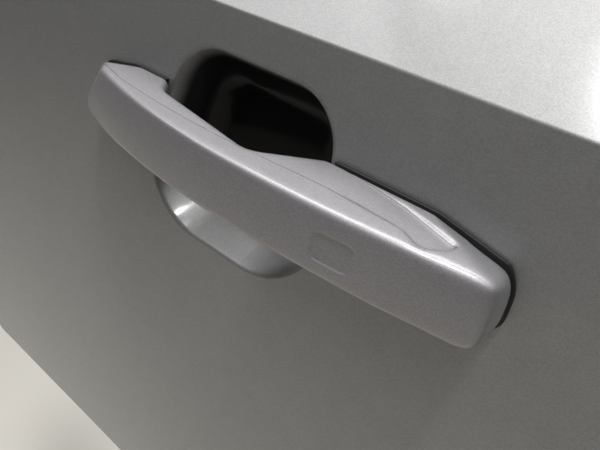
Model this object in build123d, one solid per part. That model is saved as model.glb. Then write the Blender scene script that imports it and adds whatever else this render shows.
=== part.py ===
from build123d import *
import os
from math import cos, pi, radians, sin, sqrt, tan

# Outside pull handle of a car's side door, on its own section of the door's outer skin.
#
# +X runs along the handle from its pivot end to its pull end, +Y goes into the door and +Z is up.
# The origin is the middle of the carrier's two fixing holes, on the plane where the carrier bolts
# to the door's inner structure. Pieces are drawn in the skin's frame, where Y = 0 is the outer face
# of the skin at the handle's height, and are moved back by mount_depth when they are written.
# "Out" is a distance towards the viewer, so a point that is OUT mm out lies at Y = -OUT.

# Door skin section
skin_left, skin_right = -275.0, 165.0
skin_low, skin_high = -300.0, 98.0
skin_wall = 1.2
skin_corner = 9.0
door_radius = 2600.0  # the door bulges: its section is an arc of this radius
crease_z = 56.5  # height of the shoulder crease above the handle's middle
crease_round = 2.0
shoulder_lean = 40.0  # degrees that the shoulder leans into the door
drawing_margin = 40.0  # how far raw profiles run past what they are cut to
overcut = 1.0  # how far a cutting shape runs past the face it opens
edge_reach, edge_near = 3.0, 1.0  # how far from a face its edges are looked for

# Finger cup, pressed into the skin
cup_low, cup_high = -54.4, 39.0
cup_low_left, cup_low_right = -77.5, 45.7  # its four straight sides meet at these X
cup_top_left, cup_top_right = -51.2, 29.1
cup_low_left_round, cup_low_right_round = 34.5, 38.5
cup_top_left_round, cup_top_right_round = 26.5, 24.5
cup_depth = 27.0
cup_draft = 24.0
cup_floor_round = 13.0
cup_rim_round = 2.2

# Handle, seen from outside
handle_left, handle_right = -107.0, 113.6
end_lean = 1.3  # how far the pull end leans each way from handle_right, out at its foot
handle_half = 15.7  # half its height where it meets the door
handle_rise = 1.2  # its middle's height above the arms
handle_draft = 5.4  # degrees that its flanks close in towards the viewer
corner_top_left, corner_low_left = 15.0, 12.0
corner_top_right, corner_low_right = 5.5, 7.0
corner_spare = 0.5  # least straight length left between two corners

# The pull end's upper corner draws in towards the door, along a cone that opens to the viewer
fall_radius = 19.5  # of the cone where the handle meets the door
fall_inset_x, fall_inset_z = 19.6, 19.0  # its axis from the handle's right end and top
fall_angle = 9.8  # degrees that the cone opens

# At both ends the upper flank falls towards the door, along a plane through three points each
right_fall = ((77.0, 2.3, 15.7), (109.0, 24.8, 13.1), (105.0, 2.3, 10.2))
left_fall = ((-103.0, 2.3, 10.1), (-90.0, 16.0, 15.0), (-77.0, 2.3, 15.7))
gasket_fall_lip = 1.6  # how far the gaskets show beyond those planes

# Handle, seen from above: an arch of two arcs that meet level at the crest
crest_x, crest_out = 10.0, 36.0
left_end_out, right_end_out = 13.4, 25.3
left_end_round, right_end_round = 9.0, 6.0
crown_radius = 80.0  # the front face also bulges from top to bottom, by this radius at the crest
crown_half_angle = 25.0
front_round = 2.2  # round of the front face's edges

# The front face's upper left corner is cut off along a slope through these points (x, out, z)
slope_points = ((-84.0, 20.0, 13.4), (-106.0, 2.8, 10.8), (-101.5, 14.6, -6.7))
slope_round = 1.0
grip_round = 3.0  # round of the edges that the fingers meet

# Finger gap under the grip, as (x, out, corner radius) of its bends
gap_heel_left, gap_heel_right = -60.0, 33.0
gap_bend_left = (-51.0, 10.5, 14.0)
gap_bend_right = (9.0, 21.5, 10.0)

# Parting line between the painted cover and the back half, as (x, out)
parting_gap = 0.25
parting_behind = 5.4  # how far it runs behind the front's crown at the pivot end
parting_leaves = -70.0  # where it leaves that edge
parting_dip = (-58.0, 21.9)
parting_crest = (-12.0, 24.4)
parting_middle = (30.0, 22.0)
parting_low = (54.0, 20.9)
parting_right = (76.0, 21.4)
leaf_shoulder = (83.5, 25.2)
leaf_belly = (89.8, 21.2)
leaf_tip = (92.5, 14.8)
leaf_bend = (70.0, 7.4)
leaf_start = (46.0, 3.8)
leaf_heel = (40.0, 1.0)
leaf_sink = 1.8  # how deep the leaf lies under the flank at its tip
leaf_wall = 45.0  # degrees that the wall between the leaf and the door leans

# Touch dimple in the cover
dimple_x, dimple_z = 60.0, -0.6
dimple_length, dimple_height = 17.0, 12.6
dimple_corner = 3.6
dimple_depth = 0.9
dimple_wall = 1.1  # width of its sloping wall
dimple_rise = 0.5  # how far outside the face its cutting shape starts

# Rubber gaskets between the feet and the skin
gasket_wall = 2.0
foot_clearance = 0.3  # running gap between a foot and its gasket
front_gasket_lip, rear_gasket_lip = 0.4, 0.8  # how far they show round the feet
gasket_rim_gap = 2.4  # from the cup's outline to the gaskets' straight ends

# Openings in the skin for the two arms, as (left, right, half height)
front_slot = (-104.0, -79.5, 11.5)
rear_slot = (48.0, 78.5, 12.5)
slot_corner = 4.0

# Pivot of the handle
swing_degrees = 9.0
pivot_x, pivot_y = -112.0, 16.0
pin_radius = 3.0
pin_stop = 1.0  # floor left under the pivot pin
running_gap = 0.05
pivot_hub_radius = 6.5
pivot_hub_half = 10.5
pivot_arm_left, pivot_arm_right = -96.5, -84.5
pivot_arm_half = 6.5
pivot_web = 6.0
arm_rim, arm_web = 2.5, 4.0  # rim and middle web that the pockets in an arm leave
arm_pocket_round = 1.5

# Pull arm and its eye, which takes the lever's tip
pocket_depth = 7.0  # how deep the arms plug into the handle's feet
pocket_gap = 0.15
pull_left, pull_right = 55.0, 72.0
pull_half = 7.0
eye_left, eye_right = 53.0, 73.5
eye_window_left, eye_window_right = 57.0, 69.5
eye_low, eye_high = 0.0, 7.0
eye_neck_y = 29.0
eye_wall = 4.0
eye_round, eye_window_round = 2.0, 1.0
tip_gap = 1.6  # behind the lever's tip
tip_slack = 3.4  # in front of it

# Lever, which turns about a pin along X
lever_y, lever_z = 28.5, -20.0
lever_swing = 66.0
lever_reach = 25.5
lever_tip_radius = 3.0
lever_left, lever_right = 61.0, 66.0
tip_arm_half = 4.2  # half width of the tip's arm at the hub
spoke_taper = 0.8  # half width of an arm at its round end, as a share of that end's radius
hub_left, hub_right = 56.0, 70.0
axial_play = 0.4  # each side, between a hub and what holds it
hub_radius = 6.6
sleeve_radius = 5.2
cable_reach = 18.0
cable_arm_width = 4.5
cable_arm_half = 5.0
cable_eye_radius = 4.0
cable_hole_radius = 1.6
cable_angle = -33.0
weight_angle = 200.0
weight_arm_half = 5.5
weight_arm_end = 3.0
weight_arm_inset = 2.0  # from each end of the hub
weight_reach = 13.0
weight_radius = 6.5
weight_chamfer = 1.0
weight_left, weight_right = 54.5, 70.5

# Return spring round the lever's sleeve
wire_radius = 0.9
coil_radius = 6.6
coil_turns = 5.25
coil_pitch = 2.4
coil_start = 74.0
coil_steps = 16  # straight lengths in a turn
spring_leg = 14.0
wire_sides = 8
peg_radius = 1.5  # peg on the weight that the spring's first leg pushes up
peg_along = 11.5  # how far the peg stands from the lever's pin
stop_width = 5.5  # tab on the carrier that the spring's last leg leans on
stop_depth = 3.0
stop_height = 5.0

# Carrier behind the skin
skin_seat_gap = 0.2  # between the skin's back and the carrier
wall = 3.0
carrier_back = 37.0
rail_depth = 6.0
rail_width = 5.5
carrier_half = 18.5
front_box_left, front_box_right = -126.5, -76.0
box_round = 4.0
rear_box_left, rear_box_right = 45.0, 112.0
rear_box_low = -31.0
ear_left = 90.0
ear_round = 8.0
brace_bays = 3
brace_width = 3.0
fixing_half_spacing = 120.0
fixing_boss_radius = 7.0
fixing_hole_radius = 2.75
fixing_hole_depth = 13.0
anchor_z = -49.0
anchor_slot = 2.6  # half width of the slot for the cable's sheath
anchor_front, anchor_back = 14.0, 4.0  # how far the anchor runs each way from the cable
anchor_seat = 6.0

# Screws that clamp carrier and skin together under the gaskets
screw_places = ((-74.2, 0.0), (96.0, 0.0))
screw_radius = 2.0
screw_head_radius = 3.3
screw_head_gap = 0.3  # round a head, in the gasket
screw_head_height = 1.6
screw_length = 16.0
screw_boss_radius = 4.6
screw_boss_length = 14.0

mount_depth = 52.0  # from the skin's outer face to the plane of the carrier's fixing holes

ELEVATION = Plane.XZ  # drawn as (X, Z), and a positive extrusion comes out of the door
carrier_front = skin_wall + skin_seat_gap
sleeve_start = rear_box_left + wall + axial_play
sleeve_end = ear_left - axial_play
foot_base = gasket_wall + foot_clearance


def depth_at(z, inset=0.0):
    """Y of the door's bulging face at height z, or of the same face moved in by inset."""
    return door_radius - sqrt((door_radius - inset) ** 2 - z**2)


def box(x0, x1, y0, y1, z0, z1):
    """Solid box between two corners."""
    size = (x1 - x0, y1 - y0, z1 - z0)
    middle = ((x0 + x1) / 2, (y0 + y1) / 2, (z0 + z1) / 2)
    return Pos(*middle) * Box(*size)


def rod_x(radius, x0, x1, y, z):
    """Solid cylinder along X."""
    return Pos(x0, y, z) * (Plane.YZ * extrude(Circle(radius), amount=x1 - x0))


def rod_y(radius, y0, y1, x, z):
    """Solid cylinder along Y."""
    return Pos(x, y0, z) * (Plane.XZ * extrude(Circle(radius), amount=y0 - y1))


def rod_z(radius, z0, z1, x, y):
    """Solid cylinder along Z."""
    return Pos(x, y, z0) * extrude(Circle(radius), amount=z1 - z0)


def slot_plate(left, right, half, y0, y1, corner):
    """Rounded rectangle in elevation, as a plate from y0 to y1."""
    outline = Pos((left + right) / 2, 0) * RectangleRounded(right - left, 2 * half, corner)
    return Pos(0, y1, 0) * extrude(ELEVATION * outline, amount=y1 - y0)


def rounded(outline, corners):
    """An outline with corners rounded, each given as its place in the drawing and its radius."""
    for corner, radius in corners:
        vertex = outline.vertices().sort_by_distance((*corner, 0))[0]
        outline = fillet(vertex, radius)
    return outline


# Door skin


def behind_skin(inset):
    """Everything behind the skin's outer face moved in by inset, as a long bar."""
    low = skin_low - drawing_margin
    top = skin_high + drawing_margin
    crease = (depth_at(crease_z), crease_z)
    lean = tan(radians(shoulder_lean))
    shoulder_top = (crease[0] + (top - crease_z) * lean, top)
    back = shoulder_top[0] + drawing_margin
    face = ThreePointArc((depth_at(low), low), (depth_at(low / 2), low / 2), crease)
    rest = Polyline(crease, shoulder_top, (back, top), (back, low), (depth_at(low), low))
    section = make_face(face + rest)
    corner = section.vertices().sort_by_distance((*crease, 0))[0]
    section = fillet(corner, crease_round)
    if inset:
        section = offset(section, -inset)
    length = skin_right - skin_left + 2 * drawing_margin
    return Pos(skin_left - drawing_margin, 0, 0) * extrude(Plane.YZ * section, amount=length)


def cup_outline():
    """The cup's outline where it meets the skin: four straight sides and four rounds."""
    top_left, top_right = (cup_top_left, cup_high), (cup_top_right, cup_high)
    low_left, low_right = (cup_low_left, cup_low), (cup_low_right, cup_low)
    sides = make_face(Polyline(top_left, low_left, low_right, top_right, close=True))
    corners = (
        (top_left, cup_top_left_round),
        (low_left, cup_low_left_round),
        (low_right, cup_low_right_round),
        (top_right, cup_top_right_round),
    )
    return rounded(sides, corners)


def cup_tool(grow, lead):
    """The cup as a solid, larger all round by grow, with a straight lead towards the viewer."""
    outline = cup_outline()
    if grow:
        outline = offset(outline, grow / cos(radians(cup_draft)))
    outline = ELEVATION * outline
    bowl = extrude(outline, amount=-(cup_depth + grow), taper=cup_draft)
    floor = bowl.faces().sort_by(Axis.Y)[-1]
    bowl = fillet(floor.edges(), cup_floor_round + grow)
    if lead:
        bowl += extrude(outline, amount=lead)
    return bowl


def edges_round_cup(sheet, depth):
    """Edges where the cup meets the skin's outer face, or its inner face at depth."""
    near = ELEVATION * offset(cup_outline(), drawing_margin / 4)
    zone = Pos(0, depth - skin_wall / 2, 0) * extrude(near, amount=-skin_wall)
    return [e for e in sheet.edges() if zone.is_inside(e @ 0.5)]


def make_skin():
    """Section of outer skin with the finger cup pressed into it and openings for the two arms."""
    middle = ((skin_left + skin_right) / 2, (skin_low + skin_high) / 2)
    outline = Pos(*middle) * RectangleRounded(
        skin_right - skin_left, skin_high - skin_low, skin_corner
    )
    window = Pos(0, 2 * drawing_margin, 0) * extrude(ELEVATION * outline, amount=4 * drawing_margin)
    inner = behind_skin(skin_wall)
    sheet = (behind_skin(0) - inner) & window
    bulge = cup_tool(skin_wall, 0) & behind_skin(skin_wall / 2)
    joined = sheet + bulge
    joined = fillet(edges_round_cup(joined, skin_wall), cup_rim_round + skin_wall)
    pressed = joined - cup_tool(0, drawing_margin)
    pressed = fillet(edges_round_cup(pressed, 0), cup_rim_round)
    for left, right, half in (front_slot, rear_slot):
        pressed -= slot_plate(left, right, half, -drawing_margin, carrier_front, slot_corner)
    for x, z in screw_places:
        pressed -= rod_y(screw_radius + running_gap, -drawing_margin, carrier_front, x, z)
    return pressed


# Handle


def handle_outline(grow=0.0, top_right_round=corner_top_right):
    """The handle's outline where it meets the door, in elevation."""
    left, half = handle_left, handle_half
    top_right, low_right = (handle_right - end_lean, half), (handle_right + end_lean, -half)
    room = 2 * half - corner_spare
    sides = make_face(Polyline((left, -half), low_right, top_right, (left, half), close=True))
    corners = (
        ((left, half), corner_top_left),
        ((left, -half), min(corner_low_left, room - corner_top_left)),
        (top_right, top_right_round),
        (low_right, min(corner_low_right, room - top_right_round)),
    )
    outline = rounded(sides, corners)
    return offset(outline, grow) if grow else outline


def handle_arch():
    """The handle without its finger gap: its plan, turned about an axis behind it for the crown."""
    crest = (crest_x, -crest_out)
    end_x = handle_right + end_lean
    left_end, right_end = (handle_left, -left_end_out), (end_x, -arch_out(end_x))
    left_arc = TangentArc(crest, left_end, tangent=(-1, 0))
    right_arc = TangentArc(crest, right_end, tangent=(1, 0))
    base = -foot_base
    sides = Polyline(left_end, (handle_left, base), (end_x, base), right_end)
    arch = make_face(left_arc + right_arc + sides)
    arch = rounded(arch, ((left_end, left_end_round), (right_end, right_end_round)))
    axis = Axis((0, crown_radius - crest_out, 0), (1, 0, 0))
    turned = revolve(arch, axis=axis, revolution_arc=2 * crown_half_angle)
    return turned.rotate(axis, -crown_half_angle)


def finger_gap():
    """The gap under the grip, seen from above."""
    left_x, left_out, left_round = gap_bend_left
    right_x, right_out, right_round = gap_bend_right
    bends = ((left_x, -left_out), (right_x, -right_out))
    gap = make_face(Polyline((gap_heel_left, 0), *bends, (gap_heel_right, 0), close=True))
    return rounded(gap, ((bends[0], left_round), (bends[1], right_round)))


def corner_fall():
    """What the pull end's upper corner loses: a quarter block with the cone's inside left standing."""
    x, z = handle_right - fall_inset_x, handle_half - fall_inset_z
    height = crest_out + wall
    spread = height * tan(radians(fall_angle))
    cone = Cone(fall_radius, fall_radius + spread, height)
    cone = Pos(x, -foot_base - height / 2, z) * (Rot(90, 0, 0) * cone)
    far = fall_radius + spread + wall
    return box(x, x + far, -foot_base - height, -foot_base, z, z + far) - cone


def in_space(point):
    """A point given as (x, out, z), as (x, y, z)."""
    return Vector(point[0], -point[1], point[2])


def plane_through(a, b, c):
    """Plane through three points given as (x, out, z), facing the side where they turn left."""
    a, b, c = in_space(a), in_space(b), in_space(c)
    return Plane(origin=a, x_dir=b - a, z_dir=(b - a).cross(c - a))


def under_falls(shape, spare=0.0):
    """What lies under the two planes that fall towards the door, or no further than spare above."""
    for points in (right_fall, left_fall):
        shape = split(shape, bisect_by=plane_through(*points).offset(spare), keep=Keep.BOTTOM)
    return shape


def make_handle_body():
    """The whole outside shape of the handle, before it is parted."""
    drafted = Pos(0, -foot_base, 0) * extrude(
        ELEVATION * handle_outline(), amount=crest_out + wall, taper=handle_draft
    )
    tall = 2 * handle_half + 2 * overcut
    body = drafted & handle_arch()
    crest = Plane(origin=(crest_x, 0, 0), z_dir=(1, 0, 0))
    halves = [split(body, bisect_by=crest, keep=side) for side in (Keep.BOTTOM, Keep.TOP)]
    left, right = (fillet([e for e in h.edges() if is_front_edge(e)], front_round) for h in halves)
    body = left + right - Pos(0, 0, -tall / 2) * extrude(finger_gap(), amount=tall)
    body = fillet([e for e in body.edges() if is_grip_edge(e)], grip_round)
    slope = plane_through(*slope_points)
    body = split(body, bisect_by=slope, keep=Keep.BOTTOM)
    body = fillet([e for e in body.edges() if on_plane(e, slope)], slope_round)
    return under_falls(body) - corner_fall()


def on_plane(edge, plane):
    """True for an edge that lies on a plane."""
    return all(abs(plane.to_local_coords(edge @ t).Z) < 1e-3 for t in (0, 0.5, 1))


def arch_out(x):
    """How far out the arch's face stands at x."""
    if x < crest_x:
        reach, drop = crest_x - handle_left, crest_out - left_end_out
    else:
        reach, drop = handle_right - crest_x, crest_out - right_end_out
    radius = (reach**2 + drop**2) / (2 * drop)
    return crest_out - radius + sqrt(radius**2 - (x - crest_x) ** 2)


def is_front_edge(edge):
    """True for a long edge of the front face, or of the rounds at its ends."""
    middle = edge @ 0.5
    if abs(middle.Z) < handle_half / 3 or edge.bounding_box().size.Z > handle_half:
        return False
    if edge.bounding_box().max.Y > -foot_base - wall:
        return False
    near_end = middle.X < handle_left + left_end_round or middle.X > handle_right - right_end_round
    at_crest = abs(middle.X - crest_x) < edge_near
    return not at_crest and (near_end or -middle.Y > arch_out(middle.X) - edge_reach)


def is_grip_edge(edge):
    """True for a long edge of the finger gap's walls."""
    middle = edge @ 0.5
    inside = gap_heel_left < middle.X < gap_heel_right and -middle.Y < gap_bend_right[1] + edge_near
    return inside and abs(middle.Z) > handle_half / 3


def leaf_plan(grow=0.0):
    """The back half seen from above: behind the parting line, with the leaf at the pull end."""

    def behind(x):
        return x, parting_behind - arch_out(x)

    def at(point):
        return point[0], -point[1]

    left = handle_left - wall
    start, middle = behind(handle_left), (handle_left + parting_leaves) / 2
    edge = Polyline((left, 0), (left, start[1]), start)
    edge += ThreePointArc(start, behind(middle), behind(parting_leaves))
    edge += Line(behind(parting_leaves), at(parting_dip))
    edge += ThreePointArc(at(parting_dip), at(parting_crest), at(parting_middle))
    edge += ThreePointArc(at(parting_middle), at(parting_low), at(parting_right))
    edge += Line(at(parting_right), at(leaf_shoulder))
    edge += ThreePointArc(at(leaf_shoulder), at(leaf_belly), at(leaf_tip))
    edge += Polyline(at(leaf_tip), at(leaf_bend), at(leaf_start), at(leaf_heel))
    edge += Polyline(at(leaf_heel), (leaf_heel[0], 0), (left, 0))
    plan = make_face(edge)
    return offset(plan, grow) if grow else plan


def leaf_solid(grow=0.0):
    """The back half's region as a tall solid."""
    tall = 2 * (handle_half + wall)
    return Pos(0, 0, -tall / 2) * extrude(leaf_plan(grow), amount=tall)


def flank_z(out):
    """Height of the handle's upper flank at a distance out."""
    return handle_half - (out - foot_base) * tan(radians(handle_draft))


def leaf_depth(x):
    """How deep the leaf lies under the flank at x."""
    return leaf_sink * (x - leaf_start[0]) / (leaf_tip[0] - leaf_start[0])


def leaf_wall_cut():
    """Wedge that leans the cover's wall beside the leaf back towards the door."""
    over = overcut  # how far the wedge stands clear of the flank and reaches over the leaf
    sections = [Vertex(*in_space((*leaf_start, flank_z(leaf_start[1]))))]
    for x, out in (leaf_bend, leaf_tip):
        deep, run = leaf_depth(x), tan(radians(leaf_wall))
        foot = flank_z(out) - deep
        corners = (
            (x, out, foot),
            (x, out - (deep + over) * run, foot + deep + over),
            (x, out + over, foot + deep + over),
            (x, out + over, foot),
        )
        sections.append(Face(Wire.make_polygon([in_space(c) for c in corners])))
    return loft(sections, ruled=True)


def arm_pocket(left, right, half, gap):
    """Room for an arm's root in a foot."""
    return box(left - gap, right + gap, -foot_base - pocket_depth, 0, -half - gap, half + gap)


def make_handle_back(body):
    """Painted back half: the grip's inner side, the front foot and the leaf that ends in a tip."""
    back = body & leaf_solid()
    fall = leaf_sink / (leaf_tip[0] - leaf_start[0])
    for side in (1, -1):
        level = (leaf_start[0], -foot_base, side * handle_half)
        facing = (fall, -tan(radians(handle_draft)), side)
        cut = Plane(origin=level, x_dir=(1, 0, -side * fall), z_dir=facing)
        back = split(back, bisect_by=cut, keep=Keep.BOTTOM)
    back = Pos(0, 0, handle_rise) * back
    back -= arm_pocket(pivot_arm_left, pivot_arm_right, pivot_arm_half, pocket_gap)
    back -= arm_pocket(pull_left, pull_right, pull_half, pocket_gap)
    return back


def dimple_tool():
    """The touch dimple: a rounded rectangle with sloping walls, square to the face there."""
    slope = (dimple_x - crest_x) / ((handle_right - crest_x) ** 2 / (2 * (crest_out - right_end_out)))
    out = Vector(slope, -1, 0).normalized()
    middle = Vector(dimple_x, -arch_out(dimple_x), dimple_z)
    rise = dimple_rise
    spread = rise * dimple_wall / dimple_depth
    plane = Plane(origin=middle + out * rise, x_dir=(1, slope, 0), z_dir=-out)
    outline = RectangleRounded(
        dimple_length + 2 * spread, dimple_height + 2 * spread, dimple_corner + spread
    )
    angle = 90 - Vector(1, 0, 0).get_angle(Vector(dimple_wall, dimple_depth, 0))
    return extrude(plane * outline, amount=dimple_depth + rise, taper=angle)


def make_handle_cover(body):
    """Painted outer cover with the touch dimple."""
    cover = body - leaf_solid(parting_gap)
    wedge = leaf_wall_cut()
    cover -= wedge
    cover -= mirror(wedge, about=Plane.XY)
    cover = Pos(0, 0, handle_rise) * (cover - dimple_tool())
    return cover - arm_pocket(pull_left, pull_right, pull_half, 2 * pocket_gap)


def lightened(arm, x0, x1, y0, y1, half):
    """An arm with a moulded pocket in its top and one in its bottom."""
    for z0, z1 in ((arm_web / 2, half + overcut), (-half - overcut, -arm_web / 2)):
        pocket = box(x0 + arm_rim, x1 - arm_rim, y0, y1, z0, z1)
        arm -= fillet(pocket.edges().filter_by(Axis.Z), arm_pocket_round)
    return arm


def make_pivot_arm():
    """Arm from the front foot through the skin to a hub on the pivot pin."""
    root_out = foot_base + pocket_depth
    web_top = pivot_y + pivot_web / 2
    half = pivot_arm_half
    arm = box(pivot_arm_left, pivot_arm_right, -root_out, web_top, -half, half)
    arm += box(pivot_x, pivot_arm_right, web_top - pivot_web, web_top, -half, half)
    inner_corner = (pivot_arm_left, web_top - pivot_web, 0)
    edge = arm.edges().filter_by(Axis.Z).sort_by_distance(inner_corner)[0]
    arm = fillet(edge, box_round)
    arm = lightened(arm, pivot_arm_left, pivot_arm_right, 0, web_top - pivot_web, half)
    arm += rod_z(pivot_hub_radius, -pivot_hub_half, pivot_hub_half, pivot_x, pivot_y)
    return arm - rod_z(pin_radius + running_gap, -handle_half, handle_half, pivot_x, pivot_y)


def lever_point(angle, reach):
    """(Y, Z) at a reach from the lever's pin, by its angle from +Y towards +Z."""
    return lever_y + reach * cos(radians(angle)), lever_z + reach * sin(radians(angle))


def make_pull_arm():
    """Arm from the pull foot through the skin, ending in an eye for the lever's tip."""
    tip_y = lever_point(90 - lever_swing / 2, lever_reach)[0]
    window_front = tip_y - lever_tip_radius - tip_slack
    window_back = tip_y + lever_tip_radius + tip_gap
    stem = box(pull_left, pull_right, -foot_base - pocket_depth, eye_neck_y, -pull_half, pull_half)
    end = eye_neck_y - eye_wall - arm_rim
    for y0, y1 in ((0, (end - arm_rim) / 2), ((end + arm_rim) / 2, end)):
        stem = lightened(stem, pull_left, pull_right, y0, y1, pull_half)
    eye = box(eye_left, eye_right, eye_neck_y - eye_wall, window_back + eye_wall, eye_low, eye_high)
    eye = fillet(eye.edges().filter_by(Axis.Z), eye_round)
    window = box(eye_window_left, eye_window_right, window_front, window_back, -pull_half, pull_half)
    return stem + eye - fillet(window.edges().filter_by(Axis.Z), eye_window_round)


# Lever, spring and pins


def spoke(x0, x1, angle, reach, root_half, end_radius):
    """Tapered arm of the lever with a round end, drawn in the plane across X."""
    end = Pos(reach, 0) * Circle(end_radius)
    tip_half = spoke_taper * end_radius
    arm = make_face(
        Polyline((0, -root_half), (reach, -tip_half), (reach, tip_half), (0, root_half), close=True)
    )
    turned = Plane.YZ * (Rot(0, 0, angle) * (arm + end))
    return Pos(x0, lever_y, lever_z) * extrude(turned, amount=x1 - x0)


def make_lever():
    """Lever with its hub, the tip that the handle pulls and the arm for the latch's cable."""
    lever = rod_x(hub_radius, hub_left, hub_right, lever_y, lever_z)
    lever += rod_x(sleeve_radius, sleeve_start, sleeve_end, lever_y, lever_z)
    tip_angle = 90 - lever_swing / 2
    lever += spoke(lever_left, lever_right, tip_angle, lever_reach, tip_arm_half, lever_tip_radius)
    cable_arm_end = hub_left + cable_arm_width
    lever += spoke(hub_left, cable_arm_end, cable_angle, cable_reach, cable_arm_half, cable_eye_radius)
    x0, x1 = hub_left + weight_arm_inset, hub_right - weight_arm_inset
    lever += spoke(x0, x1, weight_angle, weight_reach, weight_arm_half, weight_arm_end)
    y, z = lever_point(cable_angle, cable_reach)
    lever -= rod_x(cable_hole_radius, hub_left - overcut, hub_right, y, z)
    y, z = lever_point(weight_angle, weight_reach)
    lever -= rod_x(weight_radius, weight_left, weight_right, y, z)
    bore = pin_radius + running_gap
    return lever - rod_x(bore, sleeve_start - overcut, sleeve_end + overcut, lever_y, lever_z)


def make_counterweight():
    """Turned weight that keeps the lever shut in a side impact."""
    y, z = lever_point(weight_angle, weight_reach)
    weight = rod_x(weight_radius, weight_left, weight_right, y, z)
    weight = chamfer(weight.edges().filter_by(GeomType.CIRCLE), weight_chamfer)
    peg_y, peg_z = lever_y - peg_along, lever_z - coil_radius + wire_radius + peg_radius
    weight += rod_x(peg_radius, weight_right - wall, coil_start + 2 * wire_radius, peg_y, peg_z)
    return weight - rod_x(hub_radius, weight_left - overcut, weight_right + overcut, lever_y, lever_z)


def make_spring():
    """Coil of wire in short straight lengths, with a straight leg at each end."""
    count = round(coil_turns * coil_steps)
    path = [(coil_start, lever_y - spring_leg, lever_z - coil_radius)]
    for i in range(count + 1):
        turned = 2 * pi * i / coil_steps
        x = coil_start + coil_pitch * i / coil_steps
        path.append((x, lever_y + coil_radius * sin(turned), lever_z - coil_radius * cos(turned)))
    path.append((path[-1][0], path[-1][1], lever_z + spring_leg))
    wire = Wire.make_polygon([Vector(*p) for p in path], close=False)
    ring = Plane(origin=path[0], z_dir=(0, 1, 0)) * RegularPolygon(wire_radius, wire_sides)
    return sweep(ring, path=wire, transition=Transition.RIGHT)


# Gaskets


def gasket(lip, x0, x1, slot, screw):
    """Rubber pad under a foot, from x0 to x1, with room for the arm and for a screw's head."""
    pad = extrude(ELEVATION * handle_outline(lip, fall_radius), amount=gasket_wall)
    pad = Pos(0, 0, handle_rise) * under_falls(pad, gasket_fall_lip)
    pad &= box(x0, x1, -gasket_wall, 0, -drawing_margin, drawing_margin)
    rim = ELEVATION * offset(cup_outline(), gasket_rim_gap)
    pad -= Pos(0, gasket_wall, 0) * extrude(rim, amount=3 * gasket_wall)
    pad -= slot_plate(*slot, -2 * gasket_wall, gasket_wall, slot_corner)
    x, z = screw
    return pad - rod_y(screw_head_radius + screw_head_gap, -2 * gasket_wall, gasket_wall, x, z)


def make_front_gasket():
    """Rubber pad under the front foot."""
    left = handle_left - drawing_margin
    return gasket(front_gasket_lip, left, gap_heel_left, front_slot, screw_places[0])


def make_rear_gasket():
    """Rubber pad under the pull foot."""
    right = handle_right + drawing_margin
    return gasket(rear_gasket_lip, gap_heel_right, right, rear_slot, screw_places[1])


# Carrier


def front_box():
    """Open box behind the front foot, which holds the pivot pin."""
    half = carrier_half
    outer = box(front_box_left, front_box_right, carrier_front, carrier_back, -half, half)
    outer = fillet(outer.edges().filter_by(Axis.Y), box_round)
    left, right, half = front_box_left + wall, front_box_right - wall, carrier_half - wall
    return outer - box(left, right, 0, carrier_back - 2 * wall, -half, half)


def braces():
    """Crossed struts between the two rails, behind the cup."""
    start, end = front_box_right, rear_box_left
    bay = (end - start) / brace_bays
    high = carrier_half - rail_width / 2
    struts = None
    for i in range(brace_bays):
        x0, x1 = start + i * bay, start + (i + 1) * bay
        for z0, z1 in ((-high, high), (high, -high)):
            line = Line((x0, z0), (x1, z1))
            flat = Rot(0, 0, line.tangent_angle_at(0)) * Rectangle(line.length, brace_width)
            strut = extrude(ELEVATION * (Pos(line @ 0.5) * flat), amount=rail_depth)
            struts = strut if struts is None else struts + strut
    middle = box(start, end, -drawing_margin, drawing_margin, -carrier_half, carrier_half)
    return (Pos(0, carrier_back, 0) * struts) & middle


def rear_box():
    """Frame behind the pull foot: seat, top wall, and two walls that hold the lever's pin."""
    seat = box(rear_box_left, rear_box_right, 0, carrier_front + wall, rear_box_low, carrier_half)
    seat = fillet(seat.edges().filter_by(Axis.Y), box_round)
    seat -= slot_plate(*rear_slot, 0, 2 * wall, slot_corner)
    top_z = carrier_half - wall
    frame = seat + box(rear_box_left, rear_box_right, carrier_front, carrier_back, top_z, carrier_half)
    for x in (rear_box_left, ear_left):
        profile = make_face(
            Polyline(
                (carrier_front, rear_box_low + ear_round),
                (lever_y, lever_z - ear_round),
                (lever_y + ear_round, lever_z),
                (carrier_back, carrier_half),
                (carrier_front, carrier_half),
                close=True,
            )
        )
        ear = Pos(x, 0, 0) * extrude(Plane.YZ * profile, amount=wall)
        frame += ear + rod_x(ear_round, x, x + wall, lever_y, lever_z)
    end = rear_box_right - wall
    return frame + box(end, rear_box_right, carrier_front, carrier_back, -carrier_half, carrier_half)


def fixing_web(wall_x, boss_x):
    """Flat web between the end wall of a box and a fixing boss."""
    x0, x1 = sorted((wall_x, boss_x))
    return box(x0, x1, carrier_back - rail_depth, carrier_back, -rail_width, rail_width)


def fixing_boss(x, y0):
    """Boss along Y up to the mounting plane."""
    return rod_y(fixing_boss_radius, y0, mount_depth, x, 0)


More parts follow.
